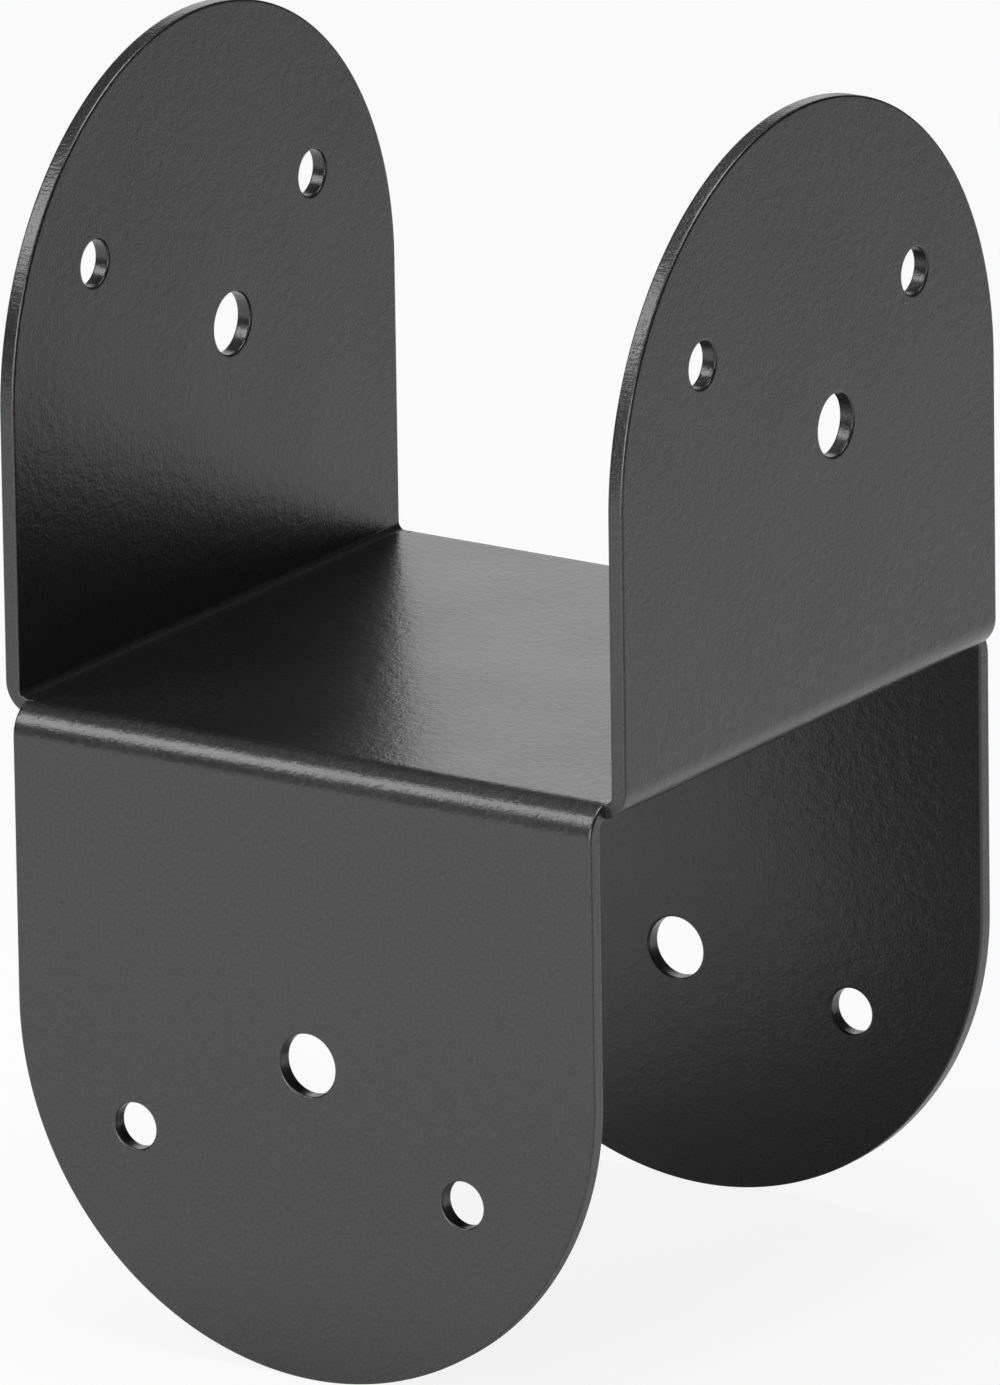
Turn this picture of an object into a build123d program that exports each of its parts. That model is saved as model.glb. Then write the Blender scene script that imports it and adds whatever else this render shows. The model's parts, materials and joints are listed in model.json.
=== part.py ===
"""Double U bracket: one folded steel sheet that sits on a post and carries a beam across it.

Frame: +Z up, as installed. The origin is the centre of the seat that lies on the post's top.
The upper channel carries the beam, which runs along Y between the two wings at +X and -X.
The lower channel grips the post between the front wing at -Y and the back wing at +Y.
"""

import os

from build123d import *

os.makedirs("parts", exist_ok=True)

# ---- driving dimensions, mm ------------------------------------------------------------
beam_width = 89.0  # dressed 4x4 timber
post_width = 89.0
timber_clearance = 1.0  # total play of the timber in its channel

sheet_thickness = 2.2  # 2 mm steel with its coat
inner_bend_radius = 1.0
outer_bend_radius = 4.2  # larger than inside plus sheet, because the sheet thins in a tight fold
edge_break = 0.3  # cut edges, before the coat

wing_setback = 1.0  # side edge of a wing, in from the face of the channel that crosses it
upper_round_height = 37.0  # beam's seat to the centre of the round wing ends
lower_round_height = 37.0  # post's seat to the centre of the round wing ends

# Holes: heights are above the beam's seat, drops are below the post's seat.
screw_hole_diameter = 6.2
screw_hole_spacing = 50.0
bolt_hole_diameter = 8.3

beam_screw_height = 53.0
beam_bolt_height = 37.4
beam_bolt_offset = 6.0  # towards +Y

post_screw_offset = -1.2  # towards +X, middle of each lower pair
front_left_screw_drop = 51.3
front_right_screw_drop = 53.4
back_screw_drop = 53.3

front_bolt_drop = 38.7
front_bolt_offset = 0.5  # towards +X
back_bolt_drop = 49.0
back_bolt_offset = -3.3

# ---- derived sizes ---------------------------------------------------------------------
beam_channel = beam_width + timber_clearance  # between the upper wings' inner faces
post_channel = post_width + timber_clearance
upper_wing_width = post_channel - 2 * wing_setback
lower_wing_width = beam_channel - 2 * wing_setback
fold_reach = outer_bend_radius - sheet_thickness  # fold's start, in from a wing's inner face
web_length = beam_channel - 2 * fold_reach  # flat between the upper folds, along X
web_width = post_channel - 2 * fold_reach  # flat between the lower folds, along Y


def screw_pair(middle, left_height, right_height):
    """Places of a wing's two screw holes: (sideways, height) of each."""
    half_spacing = screw_hole_spacing / 2
    return ((middle - half_spacing, left_height), (middle + half_spacing, right_height))


def folded_wing(channel, width, round_height, bolt, screws):
    """One wing with its fold, standing up at +X from a seat at z = 0.

    The fold starts where the flat web ends, and the wing ends in a half round.
    """
    inner_face = channel / 2
    outer_face = inner_face + sheet_thickness
    fold_start = inner_face - fold_reach
    end_radius = width / 2
    tip = round_height + end_radius

    with BuildPart() as wing:
        # Section of the fold and the straight wing, as wide as the wing.
        with BuildSketch(Plane.XZ):
            inner_centre = (inner_face - inner_bend_radius, inner_bend_radius)
            outer_centre = (fold_start, fold_reach)
            with BuildLine():
                CenterArc(inner_centre, inner_bend_radius, -90, 90)
                Polyline(
                    (inner_face, inner_bend_radius),
                    (inner_face, tip),
                    (outer_face, tip),
                    (outer_face, fold_reach),
                )
                CenterArc(outer_centre, outer_bend_radius, 0, -90)
                Polyline(
                    (fold_start, -sheet_thickness),
                    (fold_start, 0),
                    (inner_face - inner_bend_radius, 0),
                )
            make_face()
        extrude(amount=width / 2, both=True)

        # Half round end.
        with BuildSketch(Plane.YZ.offset(fold_start)):
            with Locations((0, tip)):
                Rectangle(2 * width, 2 * end_radius)
            with Locations((0, round_height)):
                Circle(end_radius, mode=Mode.SUBTRACT)
        extrude(amount=channel, mode=Mode.SUBTRACT)

        # One bolt hole, and two screw holes towards the round end.
        with BuildSketch(Plane.YZ.offset(fold_start)):
            with Locations(bolt):
                Circle(bolt_hole_diameter / 2)
            with Locations(*screws):
                Circle(screw_hole_diameter / 2)
        extrude(amount=channel, mode=Mode.SUBTRACT)

        # Broken edge round the cut outline and the hole rims, on both faces.
        fold_lines = wing.edges().filter_by(Axis.Y)
        tangent_lines = wing.edges().filter_by(Axis.X)
        web_end = wing.faces().sort_by(Axis.X)[0].edges()
        chamfer(wing.edges() - fold_lines - tangent_lines - web_end, edge_break)
    return wing.part


def upper_wing(bolt_offset):
    screws = screw_pair(0, beam_screw_height, beam_screw_height)
    bolt = (bolt_offset, beam_bolt_height)
    return folded_wing(beam_channel, upper_wing_width, upper_round_height, bolt, screws)


def lower_wing(bolt, screws):
    return folded_wing(post_channel, lower_wing_width, lower_round_height, bolt, screws)


# Each wing stands on a plane whose x axis points out of its channel.
right_seat = Plane(origin=(0, 0, sheet_thickness), x_dir=(1, 0, 0), z_dir=(0, 0, 1))
left_seat = Plane(origin=(0, 0, sheet_thickness), x_dir=(-1, 0, 0), z_dir=(0, 0, 1))
front_seat = Plane(origin=(0, 0, 0), x_dir=(0, -1, 0), z_dir=(0, 0, -1))
back_seat = Plane(origin=(0, 0, 0), x_dir=(0, 1, 0), z_dir=(0, 0, -1))

# Sideways on the front seat is towards -X, and on the back seat towards +X.
front_screws = screw_pair(-post_screw_offset, front_right_screw_drop, front_left_screw_drop)
back_screws = screw_pair(post_screw_offset, back_screw_drop, back_screw_drop)

placed_wings = (
    (right_seat, upper_wing(beam_bolt_offset)),
    (left_seat, upper_wing(-beam_bolt_offset)),
    (front_seat, lower_wing((-front_bolt_offset, front_bolt_drop), front_screws)),
    (back_seat, lower_wing((back_bolt_offset, back_bolt_drop), back_screws)),
)

with BuildPart() as folded_bracket:
    # Flat web: its underside is the post's seat, its top is the beam's seat.
    with BuildSketch():
        Rectangle(web_length, web_width)
    extrude(amount=sheet_thickness)

    for seat, wing in placed_wings:
        with Locations(seat):
            add(wing)

folded_bracket.part.label = "folded_bracket"
export_step(folded_bracket.part, "parts/folded_bracket.step")
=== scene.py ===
"""Double U bracket, folded from one sheet of steel and powder coated satin black."""

import json
import math

import bmesh
import bpy
from mathutils import Matrix, Vector
from mathutils.geometry import delaunay_2d_cdt


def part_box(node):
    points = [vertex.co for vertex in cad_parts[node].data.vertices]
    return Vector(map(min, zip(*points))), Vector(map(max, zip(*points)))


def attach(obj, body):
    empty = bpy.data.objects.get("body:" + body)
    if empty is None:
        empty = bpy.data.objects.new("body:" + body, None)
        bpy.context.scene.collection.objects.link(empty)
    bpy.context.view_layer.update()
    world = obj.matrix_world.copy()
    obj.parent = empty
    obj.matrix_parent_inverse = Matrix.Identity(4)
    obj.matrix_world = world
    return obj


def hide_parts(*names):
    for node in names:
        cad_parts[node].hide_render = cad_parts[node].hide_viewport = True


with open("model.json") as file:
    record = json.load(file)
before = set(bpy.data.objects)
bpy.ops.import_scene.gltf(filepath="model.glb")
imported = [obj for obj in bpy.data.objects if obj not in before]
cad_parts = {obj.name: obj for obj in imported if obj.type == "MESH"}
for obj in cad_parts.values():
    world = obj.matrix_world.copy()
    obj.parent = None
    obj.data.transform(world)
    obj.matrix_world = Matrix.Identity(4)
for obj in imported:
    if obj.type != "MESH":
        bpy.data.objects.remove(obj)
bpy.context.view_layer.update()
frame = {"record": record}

# ---- sizes, in metres -----------------------------------------------------------------------

MOUNTS = {mount["name"]: mount for mount in frame["record"]["mounts"]}
LOW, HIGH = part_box("folded_bracket")

SHEET = MOUNTS["beam_seat"]["pos_m"][2] - MOUNTS["post_seat"]["pos_m"][2]
INNER_BEND = 0.001  # radii of a fold; the sheet thins in it
OUTER_BEND = 0.0042
WING_SETBACK = 0.001  # from the crossing channel's face to a wing's side edge
EDGE_RADIUS = 0.0003  # coat on the cut edges

SEAT_MIDDLE = SHEET / 2  # height of the web's middle plane
CHANNEL_HALF = HIGH.x - SHEET  # from the centre to a wing's inner face
FLAT_HALF = HIGH.x - OUTER_BEND  # half of the flat web
WING_HALF = CHANNEL_HALF - WING_SETBACK
FOLD_RISE = OUTER_BEND - SHEET / 2  # of a fold's middle plane, up to the straight wing
FOLD_LENGTH = FOLD_RISE * math.pi / 2  # of a fold's middle plane, laid flat

SUPPORT = 0.0002  # narrow faces that keep a flat flat beside a curve
FACE_INSET = EDGE_RADIUS + SUPPORT
FOLD_STEPS = 24
ROUND_STEPS = 96
HOLE_STEPS = 64
EDGE_STEPS = 5
CELL = 0.004  # side of the cells that fill the flat faces
CLEARANCE = CELL * 0.6  # that the cells' corners keep from outlines and holes
NEAR = 1e-7  # points nearer than this are one
POINTS_PER_METRE = 1e7
CUT_WITHIN = 1e-9
KEEP_INSIDE = 1  # the triangulation keeps only what lies inside the outline

WHITE = (1.0, 1.0, 1.0, 1.0)


# ---- the blank, laid flat -------------------------------------------------------------------


class Wing:
    """One wing of the blank. It points along `out`, and `side` is a quarter turn on from that."""

    def __init__(self, quarter_turns, lift, tip, bores, screw_pair=None):
        self.turn = quarter_turns * math.pi / 2
        self.lift = lift  # 1 for a wing folded up, -1 for one folded down
        self.out = Vector((round(math.cos(self.turn)), round(math.sin(self.turn))))
        self.side = Vector((-self.out.y, self.out.x))
        self.round_centre = self.reach(tip) - WING_HALF
        self.holes = [self.hole(name) for name in bores]
        if screw_pair:
            half_spacing = MOUNTS[screw_pair]["dims"]["spacing_x_mm"] / 2000
            self.holes += [self.hole(screw_pair, way * half_spacing) for way in (-1, 1)]

    def reach(self, height):
        """How far out in the blank a point lies that ends up at this height."""
        rise = self.lift * (height - SEAT_MIDDLE)
        return FLAT_HALF + FOLD_LENGTH + rise - FOLD_RISE

    def hole(self, name, offset=0.0):
        """(reach, sideways, radius) in the blank of a hole that the record gives."""
        x, y, z = MOUNTS[name]["pos_m"]
        dims = MOUNTS[name]["dims"]
        sideways = Vector((x, y)).dot(self.side) + offset
        return self.reach(z), sideways, (dims.get("r_mm") or dims["hole_r_mm"]) / 1000


class Blank:
    """The sheet laid flat about its middle plane. The wings share the web's points."""

    def __init__(self):
        self.mesh = bmesh.new()
        self.turn = self.mesh.verts.layers.float.new("turn")
        self.lift = self.mesh.verts.layers.float.new("lift")
        self.cut = self.mesh.faces.layers.float.new("cut")
        self.along = self.mesh.loops.layers.float.new("along")
        self.seen = {}

    def point(self, wing, reach, sideways, height):
        place = wing.out * reach + wing.side * sideways
        in_web = max(abs(place.x), abs(place.y)) < FLAT_HALF + NEAR
        key = (
            not in_web and wing.turn,
            *(round(n * POINTS_PER_METRE) for n in (*place, height)),
        )
        if key not in self.seen:
            vert = self.mesh.verts.new((*place, height))
            vert[self.turn] = wing.turn
            vert[self.lift] = wing.lift
            self.seen[key] = vert
        return self.seen[key]

    def face(self, corners, cut=0.0, along=None):
        made = self.mesh.faces.new(corners)
        made.smooth = True
        made[self.cut] = cut
        for loop, length in zip(made.loops, along or [0.0] * len(corners)):
            loop[self.along] = length


def edge_profile():
    """(inset, height) across a cut edge, from the lower face round to the upper face."""
    wall = SHEET / 2 - EDGE_RADIUS
    upper = [(0.0, wall - SUPPORT)]
    for i in range(EDGE_STEPS + 1):
        angle = math.pi / 2 * i / EDGE_STEPS
        inset = EDGE_RADIUS * (1 - math.cos(angle))
        upper.append((inset, wall + EDGE_RADIUS * math.sin(angle)))
    upper.append((FACE_INSET, SHEET / 2))
    return [(inset, -height) for inset, height in reversed(upper)] + upper


def columns():
    """Sideways places of the web's grid lines, which the wings' folds continue."""
    count = round(2 * FLAT_HALF / CELL)
    inner = FLAT_HALF - SUPPORT
    return [-FLAT_HALF, *(inner * (2 * i / count - 1) for i in range(count + 1)), FLAT_HALF]


def fold_rows():
    """Reaches of the lines across a fold, and of the support line just past it."""
    rows = [FLAT_HALF + FOLD_LENGTH * i / FOLD_STEPS for i in range(FOLD_STEPS + 1)]
    return [*rows, rows[-1] + SUPPORT]


def wing_outline(wing):
    """(reach, sideways, inward direction) along a wing's cut edge, metal on the left."""
    reaches = fold_rows()
    flat_start, straight = reaches[-1], wing.round_centre - reaches[-1]
    count = round(straight / CELL)
    reaches += [flat_start + straight * i / count for i in range(1, count)]
    side = [(reach, -WING_HALF, (0.0, 1.0)) for reach in reaches]
    end = []
    for i in range(ROUND_STEPS + 1):
        angle = math.pi * (i / ROUND_STEPS - 0.5)
        ray = (math.cos(angle), math.sin(angle))
        end.append(
            (wing.round_centre + WING_HALF * ray[0], WING_HALF * ray[1], (-ray[0], -ray[1]))
        )
    back = [(reach, -sideways, (0.0, -1.0)) for reach, sideways, _ in reversed(side)]
    return side + end + back


def hole_outline(reach, sideways, radius):
    """The same round a hole, so clockwise, and closed."""
    points = []
    for i in range(HOLE_STEPS + 1):
        angle = -2 * math.pi * (i % HOLE_STEPS) / HOLE_STEPS
        ray = (math.cos(angle), math.sin(angle))
        points.append((reach + radius * ray[0], sideways + radius * ray[1], ray))
    return points


def inset_point(step, inset):
    reach, sideways, inward = step
    return reach + inward[0] * inset, sideways + inward[1] * inset


def add_cut_edge(blank, wing, outline, sheared):
    """Sweeps the rounded edge along an outline, and returns its rings of points."""
    profile = edge_profile()
    rings, along = [], [0.0]
    for step in outline:
        rings.append(
            [blank.point(wing, *inset_point(step, inset), height) for inset, height in profile]
        )
    for one, two in zip(outline, outline[1:]):
        along.append(along[-1] + math.dist(one[:2], two[:2]))
    for i in range(len(outline) - 1):
        for j in range(len(profile) - 1):
            corners = [rings[i][j], rings[i + 1][j], rings[i + 1][j + 1], rings[i][j + 1]]
            wall = sheared and profile[j][0] == 0.0 and profile[j + 1][0] == 0.0
            lengths = [along[i], along[i + 1], along[i + 1], along[i]]
            blank.face(corners, float(wall), lengths)
    return rings


def add_strip(blank, lower_row, upper_row):
    """Quads between two rows of a face. Turned over on the underside by the rows' order."""
    for i in range(len(lower_row) - 1):
        blank.face([lower_row[i], lower_row[i + 1], upper_row[i + 1], upper_row[i]])


def add_web(blank, web_wing):
    """The flat web's two faces, laid out along one of the wings."""
    grid = columns()
    for height, rows in ((SHEET / 2, grid), (-SHEET / 2, grid[::-1])):
        for low, high in zip(rows, rows[1:]):
            # rows run along the reach, so that the faces of the top look up
            low_row = [blank.point(web_wing, reach, low, height) for reach in grid]
            high_row = [blank.point(web_wing, reach, high, height) for reach in grid]
            add_strip(blank, low_row, high_row)


def fill_cells(outer, holes):
    """Even points inside the outline, clear of its border and of the holes."""
    low = [min(p[k] for p in outer) for k in (0, 1)]
    high = [max(p[k] for p in outer) for k in (0, 1)]
    centre = high[0] - (high[1] - low[1]) / 2
    half = (high[1] - low[1]) / 2
    counts = [round((high[k] - low[k]) / CELL) for k in (0, 1)]
    points = []
    for i in range(1, counts[0]):
        for j in range(1, counts[1]):
            reach = low[0] + (high[0] - low[0]) * i / counts[0]
            sideways = low[1] + (high[1] - low[1]) * j / counts[1]
            if reach > centre and math.hypot(reach - centre, sideways) > half - CLEARANCE:
                continue
            if any(
                math.hypot(reach - r, sideways - u) < radius + FACE_INSET + CLEARANCE
                for r, u, radius in holes
            ):
                continue
            points.append((reach, sideways))
    return points


def turns_left(first, second, third):
    ahead = (second[0] - first[0], second[1] - first[1])
    across = (third[0] - first[0], third[1] - first[1])
    return ahead[0] * across[1] - across[0] * ahead[1] > 0


def add_wing_face(blank, wing, outer, hole_loops, height):
    """Triangles over the flat of a wing, between its outline and its holes."""
    points = list(outer)
    edges = [(i, (i + 1) % len(outer)) for i in range(len(outer))]
    for loop in hole_loops:
        first = len(points)
        points += loop
        edges += [(first + i, first + (i + 1) % len(loop)) for i in range(len(loop))]
    points += fill_cells(outer, wing.holes)
    border = list(range(len(outer)))
    found = delaunay_2d_cdt(
        [Vector(p) for p in points], edges, [border], KEEP_INSIDE, CUT_WITHIN
    )
    source = [ids[0] for ids in found[3]]
    for triangle in found[2]:
        corners = [points[source[v]] for v in triangle]
        middle = [sum(c[k] for c in corners) / 3 for k in (0, 1)]
        if any(math.dist(middle, hole[:2]) < hole[2] + FACE_INSET for hole in wing.holes):
            continue
        ring = [blank.point(wing, *corner, height) for corner in corners]
        blank.face(ring if turns_left(*corners) == (height > 0) else ring[::-1])


def add_wing(blank, wing):
    """A wing with its fold, cut edges, holes and the two faces between them."""
    outline = wing_outline(wing)
    rings = add_cut_edge(blank, wing, outline, sheared=True)
    hole_outlines = [hole_outline(*hole) for hole in wing.holes]
    for loop in hole_outlines:
        add_cut_edge(blank, wing, loop, sheared=False)
    rows = fold_rows()
    inner = WING_HALF - FACE_INSET
    across = [-inner, *columns(), inner]
    flat_start = len(rows) - 1
    flat_path = [
        inset_point(step, FACE_INSET) for step in outline[flat_start : len(outline) - flat_start]
    ]
    outer = flat_path + [(rows[-1], sideways) for sideways in columns()[::-1]]
    hole_loops = [[inset_point(step, FACE_INSET) for step in loop[:-1]] for loop in hole_outlines]
    for height in (SHEET / 2, -SHEET / 2):
        order = across if height < 0 else across[::-1]
        for low, high in zip(rows, rows[1:]):
            low_row = [blank.point(wing, low, sideways, height) for sideways in order]
            high_row = [blank.point(wing, high, sideways, height) for sideways in order]
            add_strip(blank, low_row, high_row)
        add_wing_face(blank, wing, outer, hole_loops, height)
    add_fold_ends(blank, wing, rings)


def add_fold_ends(blank, wing, rings):
    """Closes the sheet where a fold stands out past the web's corner."""
    for ring, corner in ((rings[0], -FLAT_HALF), (rings[-1], FLAT_HALF)):
        web_edge = [blank.point(wing, FLAT_HALF, corner, z) for z in (SHEET / 2, -SHEET / 2)]
        corners = ring + web_edge
        blank.face(corners if corner < 0 else corners[::-1])


def make_blank():
    upper_tip, lower_tip = HIGH.z, LOW.z
    front_bores = ["front_post_bolt", "front_left_screw", "front_right_screw"]
    wings = [
        Wing(0, 1, upper_tip, ["beam_bolt"], "right_screws"),
        Wing(1, -1, lower_tip, ["back_post_bolt"], "back_screws"),
        Wing(2, 1, upper_tip, ["beam_bolt"], "left_screws"),
        Wing(3, -1, lower_tip, front_bores),
    ]
    blank = Blank()
    add_web(blank, wings[0])
    for wing in wings:
        add_wing(blank, wing)
    return blank.mesh


# ---- folding --------------------------------------------------------------------------------


class Tree:
    """A geometry node tree with named inputs, and short calls for its nodes."""

    def __init__(self, name):
        self.tree = bpy.data.node_groups.new(name, "GeometryNodeTree")
        self.tree.is_modifier = True
        self.add_socket("Geometry", "NodeSocketGeometry", "OUTPUT")
        self.add_socket("Geometry", "NodeSocketGeometry", "INPUT")
        self.given = self.tree.nodes.new("NodeGroupInput")
        self.values = {}

    def add_socket(self, name, kind, way="INPUT"):
        return self.tree.interface.new_socket(name, in_out=way, socket_type=kind)

    def add_input(self, name, kind, value):
        self.values[self.add_socket(name, kind).identifier] = value
        return self.given.outputs[name]

    def node(self, kind, inputs, **settings):
        made = self.tree.nodes.new(kind)
        for name, value in settings.items():
            setattr(made, name, value)
        for key, value in inputs.items():
            if isinstance(value, bpy.types.NodeSocket):
                self.tree.links.new(value, made.inputs[key])
            else:
                made.inputs[key].default_value = value
        return made.outputs

    def maths(self, operation, *values):
        return self.node("ShaderNodeMath", dict(enumerate(values)), operation=operation)[0]

    def attribute(self, name):
        return self.node("GeometryNodeInputNamedAttribute", {"Name": name}, data_type="FLOAT")[0]

    def turned(self, vector, angle):
        inputs = {"Vector": vector, "Angle": angle}
        return self.node("ShaderNodeVectorRotate", inputs, rotation_type="Z_AXIS")[0]

    def arc(self, radius, angle):
        """How far out and up an arc has come that starts level."""
        out = self.maths("MULTIPLY", radius, self.maths("SINE", angle))
        drop = self.maths("MULTIPLY", radius, self.maths("COSINE", angle))
        return out, self.maths("SUBTRACT", radius, drop)

    def mixed(self, share, start, end):
        return self.node("ShaderNodeMix", {0: share, 2: start, 3: end}, clamp_factor=False)[0]


def fold_tree(face_coat, edge_coat):
    """Folds the blank's wings up or down about the web, with a tight inside and a full outside."""
    t = Tree("Fold Wings")
    start = t.add_input("Fold Start", "NodeSocketFloat", FLAT_HALF)
    length = t.add_input("Fold Length", "NodeSocketFloat", FOLD_LENGTH)
    sheet = t.add_input("Sheet", "NodeSocketFloat", SHEET)
    inner = t.add_input("Inner Radius", "NodeSocketFloat", INNER_BEND)
    outer = t.add_input("Outer Radius", "NodeSocketFloat", OUTER_BEND)
    middle = t.add_input("Seat Middle", "NodeSocketFloat", SEAT_MIDDLE)
    face_finish = t.add_input("Face Coat", "NodeSocketMaterial", face_coat)
    edge_finish = t.add_input("Edge Coat", "NodeSocketMaterial", edge_coat)

    turn, lift, cut = (t.attribute(name) for name in ("turn", "lift", "cut"))
    place = t.node("GeometryNodeInputPosition", {})[0]
    facing = t.turned(place, t.maths("MULTIPLY", turn, -1.0))
    reach, sideways, height = t.node("ShaderNodeSeparateXYZ", {0: facing})
    past = t.maths("MAXIMUM", t.maths("SUBTRACT", reach, start), 0.0)
    share = t.maths("MINIMUM", t.maths("DIVIDE", past, length), 1.0)
    rest = t.maths("MAXIMUM", t.maths("SUBTRACT", past, length), 0.0)
    across = t.maths("MULTIPLY", height, lift)  # from the middle plane to the inside of the fold
    half_sheet = t.maths("MULTIPLY", sheet, 0.5)

    # outside: one arc from the web to the wing
    outer_out, outer_up = t.arc(outer, t.maths("MULTIPLY", share, math.pi / 2))
    outer_up = t.maths("SUBTRACT", outer_up, half_sheet)

    # inside: a short straight, a smaller arc and another short straight
    straight = t.maths("SUBTRACT", t.maths("SUBTRACT", outer, sheet), inner)
    arc_length = t.maths("MULTIPLY", inner, math.pi / 2)
    path = t.maths("MULTIPLY", share, t.maths("MULTIPLY_ADD", straight, 2.0, arc_length))
    after = t.maths("MAXIMUM", t.maths("SUBTRACT", path, straight), 0.0)
    angle = t.maths("MINIMUM", t.maths("DIVIDE", after, inner), math.pi / 2)
    inner_out, inner_up = t.arc(inner, angle)
    inner_out = t.maths("ADD", inner_out, t.maths("MINIMUM", path, straight))
    rise = t.maths("MAXIMUM", t.maths("SUBTRACT", after, arc_length), 0.0)
    inner_up = t.maths("ADD", t.maths("ADD", inner_up, rise), half_sheet)

    # every other height in the sheet lies on the line between the two
    inside = t.maths("ADD", t.maths("DIVIDE", across, sheet), 0.5)
    out = t.maths("ADD", t.maths("MINIMUM", reach, start), t.mixed(inside, outer_out, inner_out))
    up = t.maths("ADD", rest, t.mixed(inside, outer_up, inner_up))
    up = t.maths("MULTIPLY_ADD", up, lift, middle)
    folded = t.node("ShaderNodeCombineXYZ", {0: out, 1: sideways, 2: up})[0]

    blank = {"Geometry": t.given.outputs["Geometry"], "Position": t.turned(folded, turn)}
    shape = t.node("GeometryNodeSetPosition", blank)[0]
    shape = t.node("GeometryNodeRealizeInstances", {"Geometry": shape})[0]
    coated = {"Geometry": shape, "Material": face_finish}
    shape = t.node("GeometryNodeSetMaterial", coated)[0]
    on_cut = t.maths("GREATER_THAN", cut, 0.5)
    coated = {"Geometry": shape, "Selection": on_cut, "Material": edge_finish}
    shape = t.node("GeometryNodeSetMaterial", coated)[0]
    end = t.tree.nodes.new("NodeGroupOutput")
    t.tree.links.new(shape, end.inputs["Geometry"])
    return t


def fold_bracket(face_coat, edge_coat):
    """The finished piece: the blank, folded, as a plain mesh."""
    flat = bpy.data.meshes.new("blank")
    blank = make_blank()
    blank.to_mesh(flat)
    blank.free()
    piece = bpy.data.objects.new("coated_bracket", flat)
    bpy.context.scene.collection.objects.link(piece)
    folding = fold_tree(face_coat, edge_coat)
    modifier = piece.modifiers.new("Fold", "NODES")
    modifier.node_group = folding.tree
    for identifier, value in folding.values.items():
        modifier[identifier] = value
    evaluated = piece.evaluated_get(bpy.context.evaluated_depsgraph_get())
    piece.data = bpy.data.meshes.new_from_object(evaluated)
    piece.modifiers.clear()
    for name in ("turn", "lift", "cut"):
        piece.data.attributes.remove(piece.data.attributes[name])
    return piece


# ---- finishes -------------------------------------------------------------------------------

BLACK = (0.001, 0.001, 0.001, 1.0)
PALEST = (0.014, 0.014, 0.014, 1.0)  # on the tops of the grains
CLEAR_ROUGHNESS = 0.25
ROUGHNESS_RANGE = 0.06  # that the slow drift adds to the body's roughness

FACE_GRAINS, FACE_DEPTH, FACE_ROUGHNESS = 2200.0, 0.000035, 0.37
EDGE_GRAINS, EDGE_DEPTH, EDGE_ROUGHNESS = 2500.0, 0.00004, 0.36
SHEAR_MARKS, SHEAR_SHARE = 2600.0, 0.5  # marks per metre, and their height beside the grains

WAVE_GRAINS, WAVE_SHARE = 0.35, 0.9  # long waves: number and height beside the grains
DRIFT_GRAINS = 0.02
DRIFT_LEAST, DRIFT_GAIN = 0.6, 0.8  # height of the skin where the drift is 0, and what 1 adds
SPECK_LOW, SPECK_HIGH = 0.3, 0.8  # heights between which the grains grow paler
DRIFT_LOW, DRIFT_HIGH = 0.3, 0.7


class Finish:
    """A material's node tree, with short calls for its nodes."""

    def __init__(self, tree):
        self.tree = tree
        tree.nodes.clear()

    node = Tree.node
    maths = Tree.maths


def new_group(name, inputs, outputs):
    tree = bpy.data.node_groups.new(name, "ShaderNodeTree")
    for socket, value in inputs.items():
        kind = "NodeSocketVector" if value is None else "NodeSocketFloat"
        made = tree.interface.new_socket(socket, in_out="INPUT", socket_type=kind)
        if value is not None:
            made.default_value = value
    for socket in outputs:
        tree.interface.new_socket(socket, in_out="OUTPUT", socket_type="NodeSocketFloat")
    finish = Finish(tree)
    given = tree.nodes.new("NodeGroupInput").outputs
    end = tree.nodes.new("NodeGroupOutput").inputs
    return finish, given, end


def orange_peel_group():
    """Pebbled skin of a powder coat: fine grains on longer waves, and a slow drift in both."""
    inputs = {"Place": None, "Grains per Metre": FACE_GRAINS}
    group, given, end = new_group("Orange Peel", inputs, ("Height", "Specks", "Drift"))
    place, scale = given["Place"], given["Grains per Metre"]
    pebbles = {"Vector": place, "Scale": scale, "Detail": 1.0, "Roughness": 0.5}
    pebble = group.node("ShaderNodeTexNoise", pebbles)["Fac"]
    wave_scale = group.maths("MULTIPLY", scale, WAVE_GRAINS)
    waves = {"Vector": place, "Scale": wave_scale, "Detail": 0.0}
    wave = group.node("ShaderNodeTexNoise", waves)["Fac"]
    drift_scale = group.maths("MULTIPLY", scale, DRIFT_GRAINS)
    slow = {"Vector": place, "Scale": drift_scale, "Detail": 1.0}
    drift = group.node("ShaderNodeTexNoise", slow)["Fac"]
    height = group.maths("MULTIPLY_ADD", wave, WAVE_SHARE, pebble)
    strength = group.maths("MULTIPLY_ADD", drift, DRIFT_GAIN, DRIFT_LEAST)
    group.tree.links.new(group.maths("MULTIPLY", height, strength), end["Height"])
    specks = {"Value": pebble, "From Min": SPECK_LOW, "From Max": SPECK_HIGH}
    specks = group.node("ShaderNodeMapRange", specks)[0]
    group.tree.links.new(specks, end["Specks"])
    group.tree.links.new(drift, end["Drift"])
    return group.tree


def place_group(finish, tree, inputs):
    made = finish.tree.nodes.new("ShaderNodeGroup")
    made.node_tree = tree
    for key, value in inputs.items():
        if isinstance(value, bpy.types.NodeSocket):
            finish.tree.links.new(value, made.inputs[key])
        else:
            made.inputs[key].default_value = value
    return made.outputs


def start_coat(name, peel, grains):
    material = bpy.data.materials.new(name)
    material.use_nodes = True
    finish = Finish(material.node_tree)
    place = finish.node("ShaderNodeTexCoord", {})["Object"]
    skin = place_group(finish, peel, {"Place": place, "Grains per Metre": grains})
    return material, finish, skin


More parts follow.
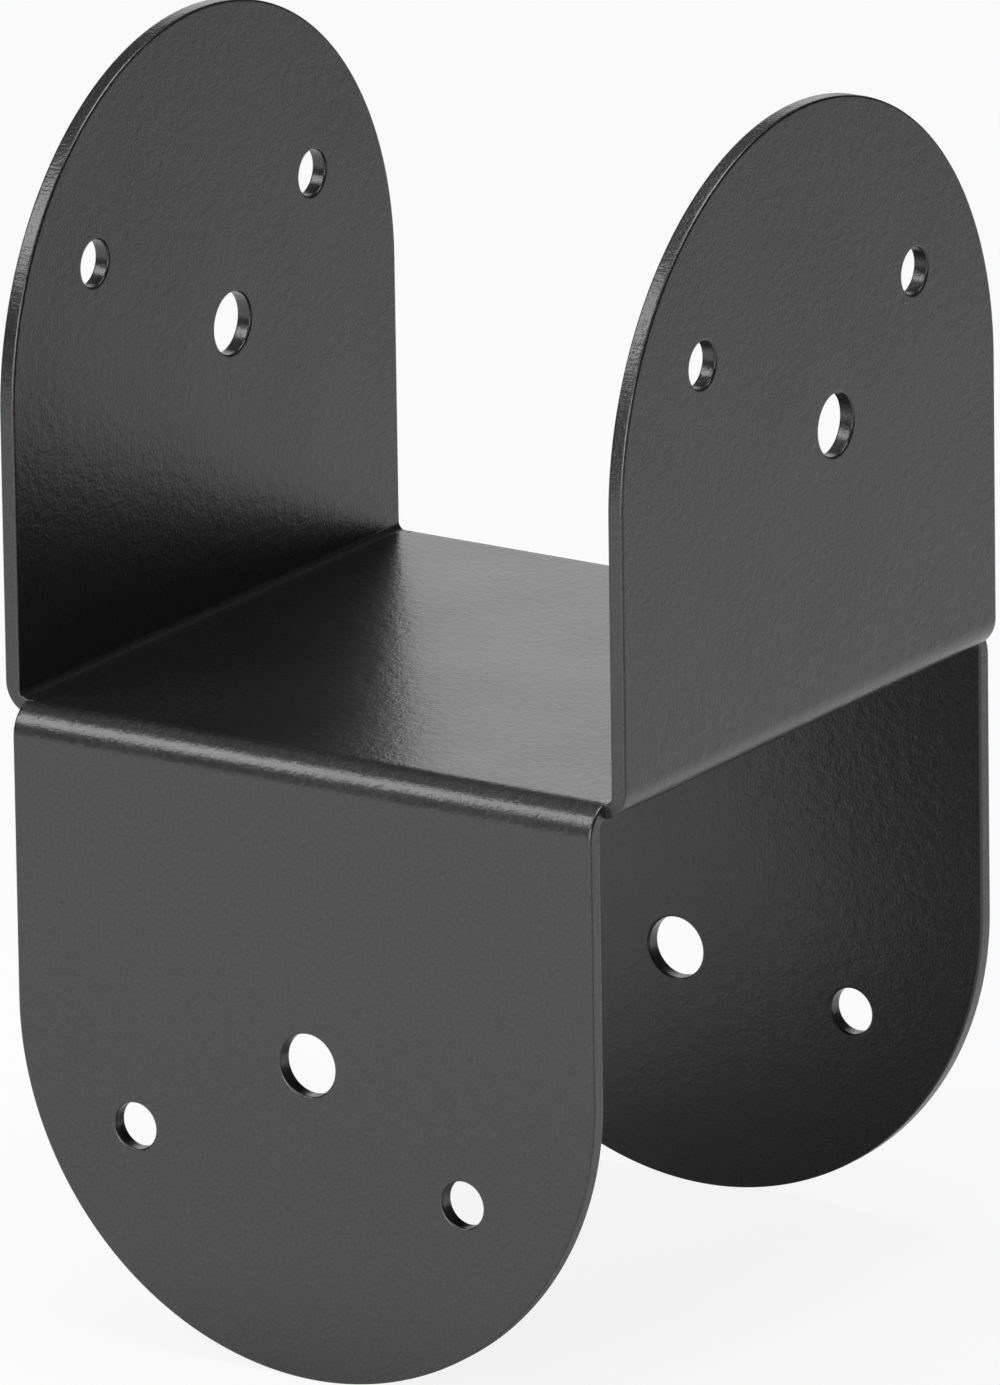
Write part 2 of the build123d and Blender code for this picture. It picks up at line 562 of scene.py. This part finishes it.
def end_coat(finish, skin, height, depth, roughness):
    """The surface: a matt black body under a clear skin, both over the same bumps."""
    bump = {"Height": height, "Strength": 1.0, "Distance": depth}
    normal = finish.node("ShaderNodeBump", bump)[0]
    spread = {
        "Value": skin["Drift"],
        "From Min": DRIFT_LOW,
        "From Max": DRIFT_HIGH,
        "To Min": roughness,
        "To Max": roughness + ROUGHNESS_RANGE,
    }
    dullness = finish.node("ShaderNodeMapRange", spread)[0]
    colour = {0: skin["Specks"], 6: BLACK, 7: PALEST}
    colour = finish.node("ShaderNodeMix", colour, data_type="RGBA")[2]
    body = {
        "Base Color": colour,
        "Roughness": dullness,
        "Normal": normal,
        "Coat Normal": normal,
        "Coat Weight": 1.0,
        "Coat Roughness": CLEAR_ROUGHNESS,
    }
    surface = finish.node("ShaderNodeBsdfPrincipled", body)[0]
    end = finish.tree.nodes.new("ShaderNodeOutputMaterial")
    finish.tree.links.new(surface, end.inputs["Surface"])


def satin_black_coat(peel):
    material, finish, skin = start_coat("satin black coat", peel, FACE_GRAINS)
    end_coat(finish, skin, skin["Height"], FACE_DEPTH, FACE_ROUGHNESS)
    return material


def coated_shear_marks(peel):
    """The same coat over a cut edge, where the marks of the shear show faintly through it."""
    material, finish, skin = start_coat("coat on sheared edge", peel, EDGE_GRAINS)
    along = finish.node("ShaderNodeAttribute", {}, attribute_name="along")["Fac"]
    lines = {"W": finish.maths("MULTIPLY", along, SHEAR_MARKS), "Scale": 1.0, "Detail": 1.0}
    line = finish.node("ShaderNodeTexNoise", lines, noise_dimensions="1D")["Fac"]
    height = finish.maths("MULTIPLY_ADD", line, SHEAR_SHARE, skin["Height"])
    end_coat(finish, skin, height, EDGE_DEPTH, EDGE_ROUGHNESS)
    return material


# ---- the piece ------------------------------------------------------------------------------

peel = orange_peel_group()
face_coat = satin_black_coat(peel)
edge_coat = coated_shear_marks(peel)
bracket = fold_bracket(face_coat, edge_coat)
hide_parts("folded_bracket")
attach(bracket, "root")


# ---- floor, light and camera ----------------------------------------------------------------

FILL = 0.02  # brightness of the room beyond the lamps
# how white the room and the floor are where they are seen, mirrored or seen through
ROOM_WHITE = {"Is Camera Ray": 1.0, "Is Glossy Ray": 0.05, "Is Transmission Ray": 1.0}
FLOOR_WHITE = {"Is Camera Ray": 0.88, "Is Glossy Ray": 0.05, "Is Transmission Ray": 0.88}
FLOOR_HALF = 3.0
FLOOR_MATT = (0.9, 0.9, 0.9, 1.0)
LENS, AIM, DISTANCE = 519.7, (0.0, -0.0008, -0.00145), 2.5656
AZIMUTH, ELEVATION, ROLL = 33.47, 17.05, -0.84  # degrees, round from the front and up
NEAREST, FARTHEST = 0.1, 20.0  # that the camera sees

SOFTBOXES = {  # name: (place, width, height, brightness of its face)
    "front": ((0.05, -1.1, 0.23), 0.6, 0.6, 6.0),
    "over left": ((-0.6, -0.61, 0.7), 0.35, 0.55, 5.4),
    "top": ((0.0, 0.0, 1.2), 0.8, 0.8, 4.9),
    "back left": ((-0.64, 0.97, 0.36), 0.9, 0.6, 0.9),
}


def white_share(tree, shares):
    """How much of its full white the room or the floor shows to each kind of ray."""
    finish = Finish(tree)
    path = finish.node("ShaderNodeLightPath", {})
    white = 0.0
    for ray, share in shares.items():
        white = finish.maths("MAXIMUM", white, finish.maths("MULTIPLY", path[ray], share))
    return finish, white


def make_world():
    """A dim room, white where it is seen."""
    world = bpy.data.worlds.new("studio")
    bpy.context.scene.world = world
    world.use_nodes = True
    finish, white = white_share(world.node_tree, ROOM_WHITE)
    strength = finish.maths("MAXIMUM", white, FILL)
    light = finish.node("ShaderNodeBackground", {"Color": WHITE, "Strength": strength})[0]
    end = world.node_tree.nodes.new("ShaderNodeOutputWorld")
    world.node_tree.links.new(light, end.inputs["Surface"])


def floor_material():
    """White, and the bracket's shadow shows on it faintly."""
    material = bpy.data.materials.new("white floor")
    material.use_nodes = True
    finish, white = white_share(material.node_tree, FLOOR_WHITE)
    matt = finish.node("ShaderNodeBsdfDiffuse", {"Color": FLOOR_MATT})[0]
    glow = finish.node("ShaderNodeEmission", {"Color": WHITE, "Strength": 1.0})[0]
    mixed = finish.node("ShaderNodeMixShader", {0: white, 1: matt, 2: glow})[0]
    end = material.node_tree.nodes.new("ShaderNodeOutputMaterial")
    material.node_tree.links.new(mixed, end.inputs["Surface"])
    return material


def make_floor():
    """A flat floor under the lower wings' tips."""
    mesh = bmesh.new()
    bmesh.ops.create_grid(mesh, x_segments=1, y_segments=1, size=FLOOR_HALF)
    data = bpy.data.meshes.new("floor")
    mesh.to_mesh(data)
    mesh.free()
    data.materials.append(floor_material())
    floor = bpy.data.objects.new("floor", data)
    floor.location.z = LOW.z
    bpy.context.scene.collection.objects.link(floor)


def make_softbox(name, place, width, height, brightness):
    """A soft lamp aimed at the bracket. White has a brightness of 1."""
    data = bpy.data.lights.new(name, "AREA")
    data.shape = "RECTANGLE"
    data.size, data.size_y = width, height
    data.energy = brightness * math.pi * width * height
    lamp = bpy.data.objects.new(name, data)
    lamp.location = place
    lamp.rotation_mode = "QUATERNION"
    lamp.rotation_quaternion = (-Vector(place)).to_track_quat("-Z", "Y")
    lamp.visible_camera = False
    bpy.context.scene.collection.objects.link(lamp)


def make_camera():
    """Looks at the bracket from the front right and a little above."""
    data = bpy.data.cameras.new("camera")
    data.lens = LENS
    data.clip_start, data.clip_end = NEAREST, FARTHEST
    camera = bpy.data.objects.new("camera", data)
    bpy.context.scene.collection.objects.link(camera)
    bpy.context.scene.camera = camera
    azimuth, elevation, roll = (math.radians(a) for a in (AZIMUTH, ELEVATION, ROLL))
    level = math.cos(elevation)
    back = Vector((math.sin(azimuth) * level, -math.cos(azimuth) * level, math.sin(elevation)))
    rolled = Matrix.Rotation(roll, 3, "Z").to_quaternion()
    camera.rotation_mode = "QUATERNION"
    camera.rotation_quaternion = (-back).to_track_quat("-Z", "Y") @ rolled
    camera.location = Vector(AIM) + back * DISTANCE


make_world()
make_floor()
make_camera()
for name, box in SOFTBOXES.items():
    make_softbox(name, *box)

bpy.context.scene.view_settings.view_transform = "Standard"
